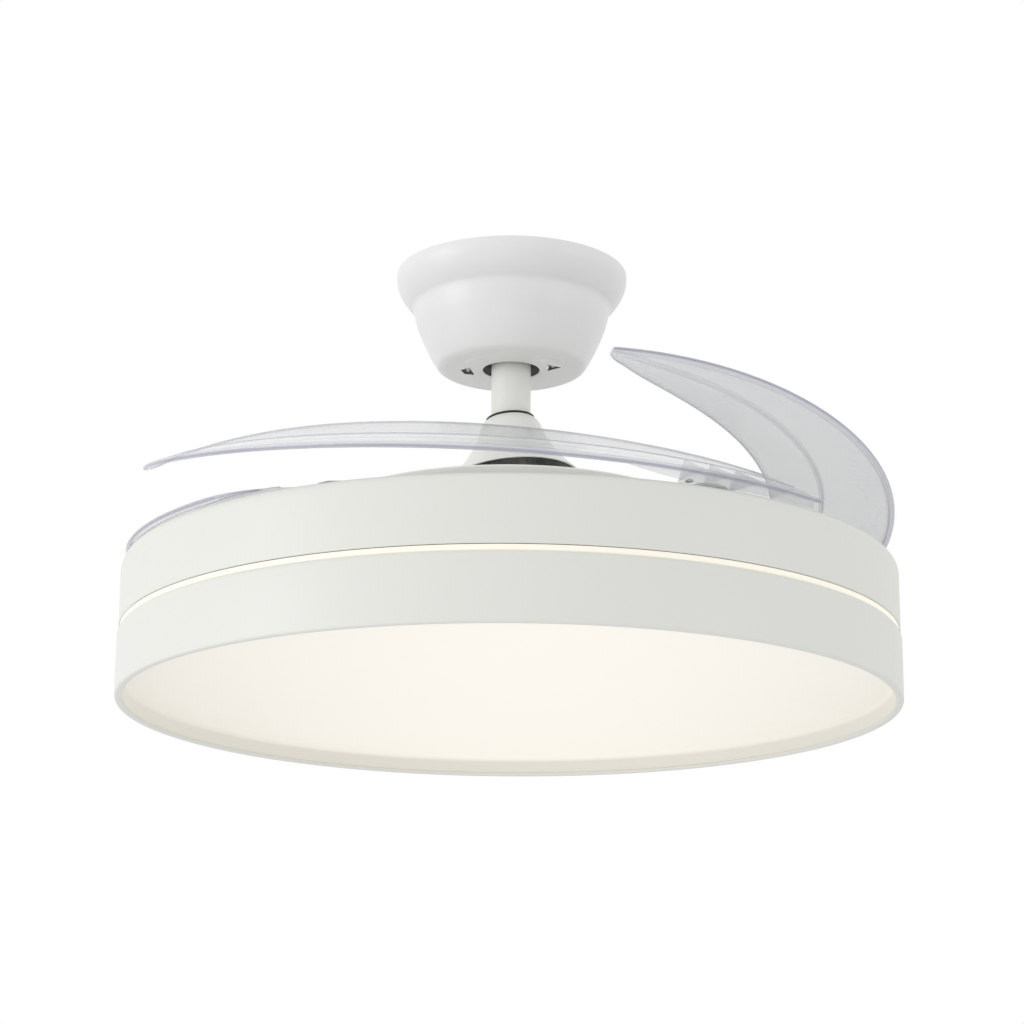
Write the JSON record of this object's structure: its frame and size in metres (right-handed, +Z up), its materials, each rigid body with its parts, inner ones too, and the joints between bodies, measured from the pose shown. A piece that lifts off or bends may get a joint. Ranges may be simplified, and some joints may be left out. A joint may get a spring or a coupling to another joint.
{
  "type": "retractable blade ceiling fan",
  "caption": "White ceiling fan with a round lit lamp drum; clear crescent blades lie folded over the drum and swing out on sprung pivots as the rotor turns.",
  "frame": {"origin": "on the fan's axis in the plane of the ceiling, the middle of the hanger bracket's upper face", "axes": "+Z up along the downrod, -Y towards the viewer of the picture, +X to the viewer's right"},
  "size_m": [0.5, 0.5, 0.294],
  "materials": {
    "white_paint": "smooth satin white paint",
    "zinc_steel": "zinc plated steel",
    "bright_steel": "bare steel",
    "cast_aluminium": "sand cast aluminium",
    "copper": "enamelled copper wire",
    "black_plastic": "moulded black plastic",
    "grey_plastic": "moulded grey nylon",
    "black_rubber": "black rubber",
    "clear_plastic": "clear moulded plastic with a faint lavender tint",
    "glow_acrylic": "cream translucent plastic, lit from inside",
    "opal_acrylic": "opal plastic, lit from inside",
    "board_white": "white circuit board"
  },
  "bodies": {
    "ceiling_and_lamp": {"hanger_bracket": "zinc_steel", "receiver_box": "black_plastic", "canopy": "white_paint", "hanger_ball": "black_plastic", "ball_pin": "bright_steel", "downrod": "white_paint", "cover_gasket": "black_rubber", "coupling_cover": "white_paint", "motor_coupling": "bright_steel", "coupling_bolt": "bright_steel", "motor_shaft": "bright_steel", "stator_core": "bright_steel", "winding_upper": "copper", "winding_lower": "copper", "shaft_washer": "bright_steel", "shaft_nut": "bright_steel", "lamp_chassis": "white_paint", "upper_band": "white_paint", "glow_ring": "glow_acrylic", "lower_band": "white_paint", "led_board": "board_white", "led_driver": "grey_plastic", "fan_controller": "black_plastic", "diffuser": "opal_acrylic"},
    "rotor": {"bearing_lower": "bright_steel", "bearing_upper": "bright_steel", "rotor_magnets": "black_plastic", "rotor_housing_bottom": "cast_aluminium", "rotor_housing_top": "white_paint", "blade_carrier": "zinc_steel", "pivot_pin_front": "bright_steel", "blade_spring_front": "bright_steel", "stop_bumper_front": "black_rubber", "pivot_pin_right": "bright_steel", "blade_spring_right": "bright_steel", "stop_bumper_right": "black_rubber", "pivot_pin_rear": "bright_steel", "blade_spring_rear": "bright_steel", "stop_bumper_rear": "black_rubber", "pivot_pin_left": "bright_steel", "blade_spring_left": "bright_steel", "stop_bumper_left": "black_rubber"},
    "sync_ring": {"sync_ring": "grey_plastic"},
    "blade_front": {"blade_front": "clear_plastic", "hinge_arm_front": "bright_steel"},
    "blade_right": {"blade_right": "clear_plastic", "hinge_arm_right": "bright_steel"},
    "blade_rear": {"blade_rear": "clear_plastic", "hinge_arm_rear": "bright_steel"},
    "blade_left": {"blade_left": "clear_plastic", "hinge_arm_left": "bright_steel"}
  },
  "joints": [
    {"name": "rotor_spin", "type": "hinge", "parent": "ceiling_and_lamp", "child": "rotor", "pos_m": [0, 0, -0.18], "axis": [0, 0, 1], "continuous": true},
    {"name": "blade_front_swing", "type": "hinge", "parent": "rotor", "child": "blade_front", "pos_m": [0.13129, -0.10481, -0.19], "axis": [0, 0, 1], "range_deg": [0, 120], "stiffness_Nm_per_rad": 0.03, "springref_deg": -20.05},
    {"name": "blade_right_swing", "type": "hinge", "parent": "rotor", "child": "blade_right", "pos_m": [0.10481, 0.13129, -0.19], "axis": [0, 0, 1], "range_deg": [0, 120], "stiffness_Nm_per_rad": 0.03, "springref_deg": -20.05},
    {"name": "blade_rear_swing", "type": "hinge", "parent": "rotor", "child": "blade_rear", "pos_m": [-0.13129, 0.10481, -0.19], "axis": [0, 0, 1], "range_deg": [0, 120], "stiffness_Nm_per_rad": 0.03, "springref_deg": -20.05},
    {"name": "blade_left_swing", "type": "hinge", "parent": "rotor", "child": "blade_left", "pos_m": [-0.10481, -0.13129, -0.19], "axis": [0, 0, 1], "range_deg": [0, 120], "stiffness_Nm_per_rad": 0.03, "springref_deg": -20.05},
    {"name": "sync_ring_turn", "type": "hinge", "parent": "rotor", "child": "sync_ring", "pos_m": [0, 0, -0.19], "axis": [0, 0, 1], "range_deg": [-20.5, 0]}
  ],
  "couplings": [
    {"joint": "blade_right_swing", "follows": "blade_front_swing", "ratio": 1},
    {"joint": "blade_rear_swing", "follows": "blade_front_swing", "ratio": 1},
    {"joint": "blade_left_swing", "follows": "blade_front_swing", "ratio": 1},
    {"joint": "sync_ring_turn", "follows": "blade_front_swing", "ratio": -0.16667}
  ]
}
